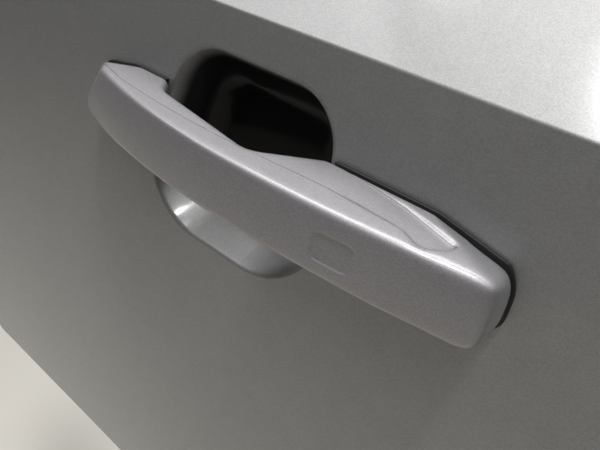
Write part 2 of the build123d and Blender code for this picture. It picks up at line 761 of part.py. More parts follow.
def make_carrier():
    """Moulded carrier: two boxes, two braced rails behind the cup and the fixing bosses."""
    rail_front = carrier_back - rail_depth
    carrier = front_box() + rear_box() + braces()
    carrier += box(
        front_box_right - wall, rear_box_right, rail_front, carrier_back,
        carrier_half - rail_width, carrier_half,
    )
    carrier += box(
        front_box_right - wall, rear_box_left + wall, rail_front, carrier_back,
        -carrier_half, -carrier_half + rail_width,
    )
    carrier += fixing_boss(-fixing_half_spacing, carrier_back - wall)
    carrier += fixing_boss(fixing_half_spacing, rail_front)
    carrier += fixing_web(front_box_left + wall, -fixing_half_spacing)
    carrier += fixing_web(rear_box_right - wall, fixing_half_spacing)
    for x, z in screw_places:
        carrier += rod_y(screw_boss_radius, carrier_front, carrier_front + screw_boss_length, x, z)
    carrier += cable_anchor() + spring_stop()
    carrier &= behind_skin(carrier_front)
    for side in (-1, 1):
        carrier -= rod_y(
            fixing_hole_radius, mount_depth - fixing_hole_depth, mount_depth + overcut,
            side * fixing_half_spacing, 0,
        )
    for x, z in screw_places:
        carrier -= rod_y(screw_radius, 0, carrier_front + screw_boss_length - wall / 2, x, z)
    carrier -= rod_z(pin_radius, -carrier_half + pin_stop, carrier_half + overcut, pivot_x, pivot_y)
    ends = rear_box_left - overcut, ear_left + wall + overcut
    return carrier - rod_x(pin_radius, *ends, lever_y, lever_z)


def cable_anchor():
    """Finger below the lever with a slot for the latch cable's sheath."""
    y = lever_point(0, cable_reach)[0]
    x = hub_left + cable_arm_width / 2
    back, low = y + anchor_back, anchor_z + wall
    stalk = box(rear_box_left, rear_box_left + wall, y - anchor_front, back, anchor_z, -carrier_half)
    seat = box(rear_box_left, x + 3 * anchor_slot, y - anchor_seat, back, anchor_z, low)
    slot = box(
        x - anchor_slot, x + anchor_slot, y - anchor_slot, back + wall,
        anchor_z - overcut, low + overcut,
    )
    return stalk + seat - slot


def spring_stop():
    """Tab beside the ear that the spring's last leg leans on."""
    back = lever_y + coil_radius - wire_radius
    top = lever_z + spring_leg
    return box(ear_left - stop_width, ear_left, back - stop_depth, back, top - stop_height, top)


def make_pivot_pin():
    """Steel pin that the handle swings on."""
    return rod_z(pin_radius, -carrier_half + pin_stop, carrier_half, pivot_x, pivot_y)


def make_lever_pin():
    """Steel pin that the lever turns on."""
    return rod_x(pin_radius, rear_box_left, ear_left + wall, lever_y, lever_z)


def make_skin_screws():
    """Two screws through the skin into the carrier, under the gaskets."""
    screws = []
    for x, z in screw_places:
        screw = rod_y(screw_radius, 0, screw_length - wall, x, z)
        screws.append(screw + rod_y(screw_head_radius, -screw_head_height, 0, x, z))
    return Compound(screws)


def main():
    body = make_handle_body()
    parts = {
        "door_skin": make_skin(),
        "front_gasket": make_front_gasket(),
        "rear_gasket": make_rear_gasket(),
        "carrier": make_carrier(),
        "pivot_pin": make_pivot_pin(),
        "lever_pin": make_lever_pin(),
        "skin_screws": make_skin_screws(),
        "handle_cover": make_handle_cover(body),
        "handle_back": make_handle_back(body),
        "pivot_arm": make_pivot_arm(),
        "pull_arm": make_pull_arm(),
        "lever": make_lever(),
        "counterweight": make_counterweight(),
        "return_spring": make_spring(),
    }
    os.makedirs("parts", exist_ok=True)
    for name, shape in parts.items():
        export_step(Pos(0, -mount_depth, 0) * shape, f"parts/{name}.step")


main()
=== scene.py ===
"""Looks of an outside pull handle in its section of painted door skin."""

import logging
from collections.abc import Callable, Iterator
from contextlib import contextmanager
from dataclasses import dataclass
from enum import Enum
from math import pi, sqrt

import bmesh
import bpy
from mathutils import Matrix, Vector

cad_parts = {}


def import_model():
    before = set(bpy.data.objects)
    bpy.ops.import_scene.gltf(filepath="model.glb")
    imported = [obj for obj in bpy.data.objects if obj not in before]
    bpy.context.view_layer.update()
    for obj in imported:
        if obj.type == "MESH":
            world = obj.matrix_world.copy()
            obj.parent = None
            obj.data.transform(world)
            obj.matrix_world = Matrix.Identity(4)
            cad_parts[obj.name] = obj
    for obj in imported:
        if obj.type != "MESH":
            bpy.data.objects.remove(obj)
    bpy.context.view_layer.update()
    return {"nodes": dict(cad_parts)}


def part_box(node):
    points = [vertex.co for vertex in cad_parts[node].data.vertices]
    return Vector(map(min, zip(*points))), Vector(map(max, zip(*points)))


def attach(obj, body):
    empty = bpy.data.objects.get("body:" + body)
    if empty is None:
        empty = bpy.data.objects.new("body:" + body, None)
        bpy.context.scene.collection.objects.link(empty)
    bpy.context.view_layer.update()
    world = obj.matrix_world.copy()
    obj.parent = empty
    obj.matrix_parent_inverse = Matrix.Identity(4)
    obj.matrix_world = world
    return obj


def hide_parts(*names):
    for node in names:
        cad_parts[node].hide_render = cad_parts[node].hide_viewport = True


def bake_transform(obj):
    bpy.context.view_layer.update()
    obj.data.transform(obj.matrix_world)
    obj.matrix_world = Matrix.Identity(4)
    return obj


LOG = logging.getLogger("door_handle")

MM = 0.001
SKIN_Y = -52 * MM  # outer face of the door's skin behind the handle
SMOOTH_ANGLE = pi / 5  # faces that meet at a sharper angle keep their edge

# The sockets of a Mix node share their names, so they are picked by their places
MIX_SHARE = 0
MIX_FROM_NUMBER, MIX_TO_NUMBER, MIXED_NUMBER = 2, 3, 0
MIX_FROM, MIX_TO, MIXED = 6, 7, 2

Piece = bpy.types.Object
Tree = bpy.types.NodeTree
Socket = bpy.types.NodeSocket
Nodes = dict[str, Piece]  # CAD nodes by name
Point = tuple[float, float, float]
Flat = tuple[float, float]  # place along the handle, and distance out from the skin


class Body(Enum):
    """The three bodies of the mechanism."""

    DOOR = "root"
    HANDLE = "handle"
    LEVER = "lever"


class Slot(Enum):
    """Names of finish slots for the new pieces, which are passed along but not used."""

    HANDLE_PAINT = "handle_paint"
    GASKET = "gasket_rubber"
    STEEL = "bright_steel"
    SPRING = "spring_steel"


def mm(*sizes: float) -> tuple[float, ...]:
    """Turn sizes in millimetres into metres."""
    return tuple(size * MM for size in sizes)


def clamped(share: float) -> float:
    """Return a share kept between nothing and all."""
    return min(max(share, 0.0), 1.0)


def linear(code: str) -> tuple[float, float, float, float]:
    """Turn an sRGB hex colour into a linear one.

    Args:
        code: Six hex digits.

    Returns:
        Red, green, blue and an alpha of one.
    """
    shares = [int(code[i : i + 2], 16) / 255 for i in (0, 2, 4)]
    red, green, blue = (c / 12.92 if c < 0.04045 else ((c + 0.055) / 1.055) ** 2.4 for c in shares)
    return red, green, blue, 1.0


def add_node(
    tree: Tree,
    kind: str,
    settings: dict[str | int, object] | None = None,
    links: dict[str | int, Socket] | None = None,
) -> bpy.types.Node:
    """Add one node with its settings and links.

    Args:
        tree: Node tree that takes the node.
        kind: Type of the node, without its ShaderNode prefix.
        settings: Values by input, or else by the node's own property.
        links: Output sockets by the input that they feed.

    Returns:
        The new node.
    """
    node = tree.nodes.new("ShaderNode" + kind)
    for key, value in (settings or {}).items():
        if isinstance(key, int) or key in node.inputs:
            node.inputs[key].default_value = value
        else:
            setattr(node, key, value)
    for key, socket in (links or {}).items():
        tree.links.new(socket, node.inputs[key])
    return node


def per_metre(size_mm: float) -> float:
    """Return the texture scale whose cells are about this many millimetres across."""
    return 1 / (size_mm * MM)


@dataclass(frozen=True)
class Finish:
    """What a surface is made of and how it was made."""

    name: str

    def material(self) -> bpy.types.Material:
        """Return this finish's material, made once.

        Returns:
            The material, named for the finish.
        """
        found = bpy.data.materials.get(self.name)
        if found:
            return found
        made = bpy.data.materials.new(self.name)
        made.use_nodes = True
        tree = made.node_tree
        tree.nodes.clear()
        place = add_node(tree, "TexCoord").outputs["Object"]
        surface = add_node(tree, "BsdfPrincipled", self.constants(), self.patterns(tree, place))
        add_node(tree, "OutputMaterial", links={"Surface": surface.outputs["BSDF"]})
        return made

    def constants(self) -> dict[str, float]:
        """Return the surface's values that are the same all over, by input."""
        return {}

    def patterns(self, tree: Tree, place: Socket) -> dict[str, Socket]:
        """Add what varies over the surface.

        Args:
            tree: Node tree of the material.
            place: Object coordinates, in metres.

        Returns:
            Output sockets by the surface's input that they feed.
        """
        raise NotImplementedError


@dataclass(frozen=True)
class MetallicPaint(Finish):
    """Silver-grey metallic basecoat under clear lacquer, sprayed.

    Aluminium flakes give it a grain that sparkles where the light is steep, and the lacquer a
    sharp second reflection with a faint orange peel.
    """

    light: str = "A6A6A5"
    dark: str = "8E8E8E"
    primer: str = "6E716C"
    primed_from: float = 0.22  # how far a face looks into the door where its primer starts
    primed_fade: float = 0.10  # and how much further it looks where only primer is left
    primer_roughness: float = 0.52
    flake_mm: float = 0.34  # real flakes are under 0.1 mm, drawn coarse enough to show
    flake_share: float = 0.7  # how much of the step from dark to light the flakes make
    flake_tilt: float = 0.10
    flake_depth: float = 0.1 * MM
    cloud_mm: float = 9.0
    clouds: tuple[float, float] = (0.35, 0.65)  # least and most of the light tone, flakes apart
    peel_mm: float = 2.2
    peel: float = 0.05
    peel_depth: float = 0.03 * MM
    metal: float = 0.80
    roughness: float = 0.64
    lacquer_roughness: float = 0.14

    def constants(self) -> dict[str, float]:
        """Return how sharp the lacquer's reflection is."""
        return {"Coat Roughness": self.lacquer_roughness}

    def patterns(self, tree: Tree, place: Socket) -> dict[str, Socket]:
        """Lay flakes and lacquer on the shown side, and leave the hidden side in primer.

        Args:
            tree: Node tree of the material.
            place: Object coordinates, in metres.

        Returns:
            Output sockets by the surface's input that they feed.
        """
        cells = add_node(tree, "TexVoronoi", {"Scale": per_metre(self.flake_mm)}, {"Vector": place})
        flakes = add_node(tree, "SeparateColor", links={"Color": cells.outputs["Color"]})
        paint = self.basecoat(tree, place, flakes.outputs["Red"])
        hidden = self.hidden(tree, place)
        shown = add_node(tree, "Math", {"operation": "SUBTRACT", 0: 1.0}, {1: hidden}).outputs["Value"]
        colour = add_node(
            tree,
            "Mix",
            {"data_type": "RGBA", MIX_TO: linear(self.primer)},
            {MIX_SHARE: hidden, MIX_FROM: paint},
        )
        metal = add_node(tree, "Math", {"operation": "MULTIPLY", 1: self.metal}, {0: shown})
        rough = add_node(
            tree,
            "Mix",
            {
                "data_type": "FLOAT",
                MIX_FROM_NUMBER: self.roughness,
                MIX_TO_NUMBER: self.primer_roughness,
            },
            {MIX_SHARE: hidden},
        )
        tilt = add_node(
            tree,
            "Bump",
            {"Strength": self.flake_tilt, "Distance": self.flake_depth},
            {"Height": flakes.outputs["Green"]},
        )
        peel = add_node(
            tree, "TexNoise", {"Scale": per_metre(self.peel_mm), "Detail": 1.0}, {"Vector": place}
        )
        lacquer = add_node(
            tree,
            "Bump",
            {"Strength": self.peel, "Distance": self.peel_depth},
            {"Height": peel.outputs["Fac"]},
        )
        return {
            "Base Color": colour.outputs[MIXED],
            "Metallic": metal.outputs["Value"],
            "Roughness": rough.outputs[MIXED_NUMBER],
            "Coat Weight": shown,
            "Normal": tilt.outputs["Normal"],
            "Coat Normal": lacquer.outputs["Normal"],
        }

    def basecoat(self, tree: Tree, place: Socket, flakes: Socket) -> Socket:
        """Mix the basecoat's colour from single flakes and from the clouds of the spray.

        Args:
            tree: Node tree of the material.
            place: Object coordinates, in metres.
            flakes: How light each flake is.

        Returns:
            The colour.
        """
        spray = add_node(
            tree, "TexNoise", {"Scale": per_metre(self.cloud_mm), "Detail": 3.0}, {"Vector": place}
        )
        least, most = self.clouds
        cloud = add_node(
            tree, "MapRange", {"To Min": least, "To Max": most}, {"Value": spray.outputs["Fac"]}
        )
        level = add_node(
            tree,
            "Math",
            {"operation": "MULTIPLY_ADD", 1: self.flake_share},
            {0: flakes, 2: cloud.outputs["Result"]},
        )
        centred = add_node(
            tree,
            "Math",
            {"operation": "SUBTRACT", 1: self.flake_share / 2},
            {0: level.outputs["Value"]},
        )
        return add_node(
            tree,
            "Mix",
            {"data_type": "RGBA", MIX_FROM: linear(self.dark), MIX_TO: linear(self.light)},
            {MIX_SHARE: centred.outputs["Value"]},
        ).outputs[MIXED]

    def hidden(self, tree: Tree, place: Socket) -> Socket:
        """Pick the faces that look into the door, where only primer lies.

        Args:
            tree: Node tree of the material.
            place: Object coordinates, in metres.

        Returns:
            The primer's share.
        """
        side = add_node(tree, "NewGeometry").outputs["True Normal"]
        facing = add_node(tree, "SeparateXYZ", links={"Vector": side})
        return add_node(
            tree,
            "MapRange",
            {"From Min": self.primed_from, "From Max": self.primed_from + self.primed_fade},
            {"Value": facing.outputs["Y"]},
        ).outputs["Result"]


@dataclass(frozen=True)
class PaintWithShadedCup(MetallicPaint):
    """The same paint on the door's skin, whose finger cup is nearly black inside.

    Nearly black painted shade is laid deep in the cup in place of the shade there. The lacquer is
    thinned with it, so that it reflects less, though it still shines.
    """

    # painted shade: the nearly black colour laid deep in the cup
    painted_shade: str = "060607"
    shade_coat_share: float = 0.25  # share of the lacquer that is left deep in the cup, which dims its reflection along with the painted shade
    shade_from: float = SKIN_Y + 0.8 * MM  # the painted shade starts here and grows inwards
    # the painted shade is full from here inwards
    shade_full: float = SKIN_Y + 9.0 * MM
    lip_z: float = -37 * MM  # below it the cup's lower lip has no painted shade
    lip_end_z: float = -30 * MM  # above it the painted shade is full
    top_z: float = 46 * MM  # above the cup, under the shoulder
    mouth: Point = (-12 * MM, SKIN_Y, -2 * MM)  # middle of the cup's mouth
    back_y: float = SKIN_Y + 1.3 * MM  # just behind the skin's back

    def patterns(self, tree: Tree, place: Socket) -> dict[str, Socket]:
        """Lay painted shade deep in the cup: darken the paint there, and thin its lacquer.

        Args:
            tree: Node tree of the material.
            place: Object coordinates, in metres.

        Returns:
            Output sockets by the surface's input that they feed.
        """
        feeds = super().patterns(tree, place)
        depth = self.depth(tree, place)
        # painted shade: deep in the cup the paint goes nearly black
        feeds["Base Color"] = add_node(
            tree,
            "Mix",
            {"data_type": "RGBA", MIX_TO: linear(self.painted_shade)},
            {MIX_SHARE: depth, MIX_FROM: feeds["Base Color"]},
        ).outputs[MIXED]
        # with the painted shade the lacquer thins, which dims its reflection
        shade_coat = add_node(
            tree, "MapRange", {"To Min": 1.0, "To Max": self.shade_coat_share}, {"Value": depth}
        )
        feeds["Coat Weight"] = add_node(
            tree,
            "Math",
            {"operation": "MULTIPLY"},
            {0: feeds["Coat Weight"], 1: shade_coat.outputs["Result"]},
        ).outputs["Value"]
        return feeds

    def away_from_mouth(self, tree: Tree, place: Socket) -> Socket:
        """Measure how far a face looks away from the cup's mouth.

        Args:
            tree: Node tree of the material.
            place: Object coordinates, in metres.

        Returns:
            The measure, which is below zero inside the cup.
        """
        side = add_node(tree, "NewGeometry").outputs["True Normal"]
        away = add_node(tree, "VectorMath", {"operation": "SUBTRACT", 1: self.mouth}, {0: place})
        return add_node(
            tree, "VectorMath", {"operation": "DOT_PRODUCT"}, {0: away.outputs["Vector"], 1: side}
        ).outputs["Value"]

    def hidden(self, tree: Tree, place: Socket) -> Socket:
        """Add the outside of the cup's wall, which only the inside of the door shows.

        Args:
            tree: Node tree of the material.
            place: Object coordinates, in metres.

        Returns:
            The primer's share.
        """
        split = add_node(tree, "SeparateXYZ", links={"Vector": place})
        past = add_node(
            tree, "Math", {"operation": "GREATER_THAN", 1: self.back_y}, {0: split.outputs["Y"]}
        )
        outside = add_node(
            tree,
            "Math",
            {"operation": "GREATER_THAN", 1: 0.0},
            {0: self.away_from_mouth(tree, place)},
        )
        beside = add_node(
            tree,
            "Math",
            {"operation": "COMPARE", 1: self.mouth[2], 2: self.top_z - self.mouth[2]},
            {0: split.outputs["Z"]},
        )
        wall = past.outputs["Value"]
        for share in (outside, beside):
            wall = add_node(
                tree, "Math", {"operation": "MULTIPLY"}, {0: wall, 1: share.outputs["Value"]}
            ).outputs["Value"]
        return add_node(
            tree, "Math", {"operation": "MAXIMUM"}, {0: super().hidden(tree, place), 1: wall}
        ).outputs["Value"]

    # the mask of the painted shade in the cup
    def depth(self, tree: Tree, place: Socket) -> Socket:
        """Lay the painted shade, which fades in behind the skin and out towards the cup's lower lip.

        Args:
            tree: Node tree of the material.
            place: Object coordinates, in metres.

        Returns:
            The share of painted shade, from 0 to 1, which grows with the depth in the cup.
        """
        split = add_node(tree, "SeparateXYZ", links={"Vector": place})
        inward = add_node(
            tree,
            "MapRange",
            {"interpolation_type": "SMOOTHSTEP", "From Min": self.shade_from, "From Max": self.shade_full},
            {"Value": split.outputs["Y"]},
        )
        upward = add_node(
            tree,
            "MapRange",
            {"interpolation_type": "SMOOTHSTEP", "From Min": self.lip_z, "From Max": self.lip_end_z},
            {"Value": split.outputs["Z"]},
        )
        under = add_node(
            tree, "Math", {"operation": "LESS_THAN", 1: self.top_z}, {0: split.outputs["Z"]}
        )
        inside = add_node(
            tree, "Math", {"operation": "LESS_THAN", 1: 0.0}, {0: self.away_from_mouth(tree, place)}
        )
        depth = inward.outputs["Result"]
        for share in (upward.outputs["Result"], under.outputs["Value"], inside.outputs["Value"]):
            depth = add_node(
                tree, "Math", {"operation": "MULTIPLY"}, {0: depth, 1: share}
            ).outputs["Value"]
        return depth


@dataclass(frozen=True)
class Grained(Finish):
    """A material that is the same all through, with a tone that wanders and a raised grain."""

    light: str
    dark: str
    roughness: float
    grain_mm: float
    grain: float
    grain_depth: float
    rough_spread: float  # how far the roughness wanders to either side

    def textures(self, tree: Tree, place: Socket) -> tuple[Socket, Socket]:
        """Add the pattern of the tone and the one of the grain.

        Args:
            tree: Node tree of the material.
            place: Object coordinates, in metres.

        Returns:
            How light a point is, and how high.
        """
        raise NotImplementedError

    def patterns(self, tree: Tree, place: Socket) -> dict[str, Socket]:
        """Vary the colour and the roughness with the tone, and raise the grain.

        Args:
            tree: Node tree of the material.
            place: Object coordinates, in metres.

        Returns:
            Output sockets by the surface's input that they feed.
        """
        tone, height = self.textures(tree, place)
        colour = add_node(
            tree,
            "Mix",
            {"data_type": "RGBA", MIX_FROM: linear(self.dark), MIX_TO: linear(self.light)},
            {MIX_SHARE: tone},
        )
        smoothest, roughest = self.roughness - self.rough_spread, self.roughness + self.rough_spread
        rough = add_node(tree, "MapRange", {"To Min": smoothest, "To Max": roughest}, {"Value": tone})
        raised = add_node(
            tree, "Bump", {"Strength": self.grain, "Distance": self.grain_depth}, {"Height": height}
        )
        return {
            "Base Color": colour.outputs[MIXED],
            "Roughness": rough.outputs["Result"],
            "Normal": raised.outputs["Normal"],
        }


@dataclass(frozen=True)
class Moulded(Grained):
    """Moulded rubber or plastic: a mottled colour, a satin skin and a fine spark-eroded grain."""

    grain_mm: float = 0.35
    grain: float = 0.25
    grain_depth: float = 0.06 * MM
    rough_spread: float = 0.06
    mottle_mm: float = 4.0
    translucency: float = 0.0
    light_depth: float = 1.0 * MM  # how far light spreads under the skin

    def constants(self) -> dict[str, float]:
        """Return how much light goes under the skin, and how far."""
        return {"Subsurface Weight": self.translucency, "Subsurface Scale": self.light_depth}

    def textures(self, tree: Tree, place: Socket) -> tuple[Socket, Socket]:
        """Add the mottle, and apart from it the much finer grain.

        Args:
            tree: Node tree of the material.
            place: Object coordinates, in metres.

        Returns:
            How light a point is, and how high.
        """
        mottle = add_node(
            tree, "TexNoise", {"Scale": per_metre(self.mottle_mm), "Detail": 4.0}, {"Vector": place}
        )
        grain = add_node(
            tree, "TexNoise", {"Scale": per_metre(self.grain_mm), "Detail": 2.0}, {"Vector": place}
        )
        return mottle.outputs["Fac"], grain.outputs["Fac"]


@dataclass(frozen=True)
class Metal(Grained):
    """Bare or plated metal, with the grain that its making leaves in its tone and its face."""

    grain: float = 0.2
    grain_depth: float = 0.03 * MM
    rough_spread: float = 0.08

    def constants(self) -> dict[str, float]:
        """Return that it is metal all over."""
        return {"Metallic": 1.0}

    def textures(self, tree: Tree, place: Socket) -> tuple[Socket, Socket]:
        """Add one grain for both.

        Args:
            tree: Node tree of the material.
            place: Object coordinates, in metres.

        Returns:
            How light a point is, and how high.
        """
        grain = add_node(
            tree, "TexNoise", {"Scale": per_metre(self.grain_mm), "Detail": 3.0}, {"Vector": place}
        )
        return grain.outputs["Fac"], grain.outputs["Fac"]


# The door's paint, with painted shade deep in its finger cup
DOOR_PAINT = PaintWithShadedCup("silver_grey_metallic_lacquer")
# The same spray on plastic, a shade lighter, and painted all round
HANDLE_PAINT = MetallicPaint(
    "silver_grey_metallic_lacquer_on_plastic", light="AAA8AA", dark="929093", primed_from=1.0
)
# Full of carbon black: nearly black and dull
EPDM_RUBBER = Moulded("moulded_epdm_rubber", "1D1E1F", "101112", 0.58, grain_mm=0.25)
# Short glass fibres near the face leave the black satin and a little mottled
GLASS_FILLED_NYLON = Moulded("glass_filled_black_nylon", "222426", "141517", 0.50)
# Without the fibres it comes a little smoother out of the mould
ARM_NYLON = Moulded("moulded_grey_nylon", "303234", "232527", 0.46)
# Off-white and waxy, because light goes a little way into it
ACETAL = Moulded(
    "natural_acetal", "E6E0D0", "D8D1BF", 0.36, mottle_mm=7.0, grain=0.1, translucency=0.15
)
# Left as it comes out of the die: grey, with a coarse and cloudy skin
DIE_CAST_ZINC = Metal("die_cast_zinc", "A2A3A4", "7F8183", 0.42, grain_mm=0.9, grain=0.35)
# Turned, ground and bright, with a fine grain
GROUND_STEEL = Metal("ground_steel", "C4C1BA", "A5A29C", 0.24, grain_mm=0.5)
# Drawn, wound and phosphated: dark grey with a dull sheen
SPRING_WIRE = Metal("phosphated_spring_wire", "6F7174", "4B4D50", 0.36, grain_mm=0.3)


def deselect_all() -> None:
    """Leave nothing selected, because an operator acts on all that is."""
    if bpy.context.object and bpy.context.object.mode != "OBJECT":
        bpy.ops.object.mode_set(mode="OBJECT")
    bpy.ops.object.select_all(action="DESELECT")


def pick(*pieces: Piece) -> None:
    """Select these pieces alone.

    Args:
        pieces: The pieces, the active one first.
    """
    deselect_all()
    for piece in pieces:
        piece.select_set(True)
    bpy.context.view_layer.objects.active = pieces[0]


@contextmanager
def edit_mode() -> Iterator[None]:
    """Shape the active piece in edit mode, which starts with all of it selected.

    Yields:
        Nothing, while the piece is in edit mode.
    """
    bpy.ops.object.mode_set(mode="EDIT")
    bpy.ops.mesh.select_all(action="SELECT")
    yield
    bpy.ops.object.mode_set(mode="OBJECT")


def select_edges(piece: Piece, wanted: Callable[[bmesh.types.BMEdge], bool]) -> None:
    """Select some edges of the piece in edit mode, and nothing else.

    Args:
        piece: The piece.
        wanted: Says of an edge whether it is selected.
    """
    bpy.ops.mesh.select_mode(type="EDGE")
    bpy.ops.mesh.select_all(action="DESELECT")
    mesh = bmesh.from_edit_mesh(piece.data)
    for edge in mesh.edges:
        edge.select_set(wanted(edge))
    mesh.select_flush_mode()
    bmesh.update_edit_mesh(piece.data)


def settle(piece: Piece, name: str) -> Piece:
    """Put a piece's place into its mesh, so that its object sits at the origin.

    Args:
        piece: The object to settle.
        name: Its name from now on.

    Returns:
        The same object.
    """
    pick(piece)
    bpy.ops.object.transform_apply(location=True, rotation=True, scale=True)
    piece.name = name
    piece.data.name = name
    return piece


def apply_modifiers(piece: Piece) -> None:
    """Apply every modifier of a piece in its order.

    Args:
        piece: The piece.
    """
    pick(piece)
    for modifier in list(piece.modifiers):
        bpy.ops.object.modifier_apply(modifier=modifier.name)


@dataclass
class Dressed:
    """CAD nodes that keep their shape and take a finish."""

    finishes: dict[str, Finish]

    def build(self, nodes: Nodes) -> None:
        """Give each node its finish.

        Args:
            nodes: The frame's objects by node name.
        """
        for name, finish in self.finishes.items():
            slots = nodes[name].data.materials
            slots.clear()
            slots.append(finish.material())
            LOG.info("dressed %s in %s", name, finish.name)


@dataclass
class ReturnSpring:
    """Torsion spring round the lever's sleeve, of round wire in one smooth helix."""

    wire_radius: float = 0.9 * MM
    turns: float = 5.25
    pitch: float = 2.4 * MM
    leg: float = 14.0 * MM
    steps_in_turn: int = 40
    wire_sides: int = 14
    end_reach: float = 1.35 * MM  # how far from its place an open end's edges may lie

    def build(self) -> Piece:
        """Turn the wire's section round the sleeve and pull its two legs out.

        Returns:
            The finished spring.
        """
        low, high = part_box("return_spring")
        axis_z = high.z - self.leg
        coil_radius = axis_z - low.z - self.wire_radius
        axis_y = high.y - self.wire_radius - coil_radius
        first = (low.x + self.wire_radius, axis_y, axis_z)
        last = (first[0] + self.turns * self.pitch, axis_y, axis_z)
        deselect_all()
        bpy.ops.mesh.primitive_circle_add(
            vertices=self.wire_sides, radius=self.wire_radius, location=first
        )
        wire = bpy.context.object
        with edit_mode():
            bpy.ops.transform.rotate(value=pi / 2, orient_axis="X", center_override=first)
            bpy.ops.transform.translate(value=(0, 0, -coil_radius))
        helix = wire.modifiers.new("helix", "SCREW")
        helix.axis = "X"
        helix.angle = self.turns * 2 * pi
        helix.screw_offset = self.turns * self.pitch
        helix.steps = helix.render_steps = round(self.turns * self.steps_in_turn)
        helix.use_smooth_shade = True
        apply_modifiers(wire)
        self.pull_leg(wire, first[0], (0, -self.leg, 0))
        self.pull_leg(wire, last[0], (0, 0, self.leg))
        with edit_mode():
            bpy.ops.mesh.normals_make_consistent(inside=False)
        spring = settle(wire, "return_spring_wire")
        bpy.ops.object.shade_smooth_by_angle(angle=SMOOTH_ANGLE)
        spring.data.materials.append(SPRING_WIRE.material())
        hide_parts("return_spring")
        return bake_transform(spring)

    def pull_leg(self, wire: Piece, x: float, way: Point) -> None:
        """Pull the wire's open end at x into a straight leg and close it.

        Args:
            wire: The coil.
            x: Where the open end lies along the axis.
            way: Direction and length of the leg.
        """

        def ends_here(edge: bmesh.types.BMEdge) -> bool:
            """Return whether an edge is on the open end."""
            middle = wire.matrix_world @ ((edge.verts[0].co + edge.verts[1].co) / 2)
            return edge.is_boundary and abs(middle.x - x) < self.end_reach

        with edit_mode():
            select_edges(wire, ends_here)
            bpy.ops.mesh.extrude_region_move(TRANSFORM_OT_translate={"value": way})
            bpy.ops.mesh.edge_face_add()


@dataclass
class PinHeads:
    """Domed heads that keep the two pins from walking out of the carrier."""

    radius: float = 4.4 * MM
    height: float = 1.4 * MM
    round_over: float = 0.9 * MM
    round_steps: int = 5
    sides: int = 40
    flush: float = 0.14 * MM  # what lies this near the head's outer face is on it
    smooth_angle: float = pi / 6

    def build(self) -> list[Piece]:
        """Seat one head on the end of each pin.

        Returns:
            The two heads.
        """
        return [self.head("pivot_pin", Vector((0, 0, 1))), self.head("lever_pin", Vector((1, 0, 0)))]

    def head(self, pin: str, way: Vector) -> Piece:
        """Model one head.

        Args:
            pin: Name of the pin's node.
            way: Direction of the pin's end that it sits on.

        Returns:
            The head.
        """
        low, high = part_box(pin)
        seat = Vector([hi if along else (lo + hi) / 2 for lo, hi, along in zip(low, high, way)])
        top = seat + way * self.height
        deselect_all()
        bpy.ops.mesh.primitive_cylinder_add(
            vertices=self.sides,
            radius=self.radius,
            depth=self.height,
            location=seat + way * self.height / 2,
            rotation=way.to_track_quat("Z", "Y").to_euler(),
        )
        piece = settle(bpy.context.object, pin + "_head")
        with edit_mode():
            select_edges(
                piece, lambda edge: all(abs((v.co - top).dot(way)) < self.flush for v in edge.verts)
            )
            bpy.ops.mesh.bevel(offset=self.round_over, segments=self.round_steps, affect="EDGES")
        bpy.ops.object.shade_smooth_by_angle(angle=self.smooth_angle)
        piece.data.materials.append(GROUND_STEEL.material())
        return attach(piece, Body.DOOR.value)


@dataclass(frozen=True)
class Guard:
    """A box where softening is held back."""

    low: Point
    high: Point
    share: float = 0.0  # how much of the softening is left inside
    fade: float = 2.5 * MM  # distance from the box at which all of it is back

    def weight(self, point: Vector) -> float:
        """Measure the softening that is left at a point.

        Args:
            point: The point.

        Returns:
            The share of softening, from the box's own inside it to 1 past its fade.
        """
        gaps = [max(lo - c, c - hi, 0.0) for lo, c, hi in zip(self.low, point, self.high)]
        away = min(Vector(gaps).length / self.fade, 1.0)
        return self.share + (1 - self.share) * away


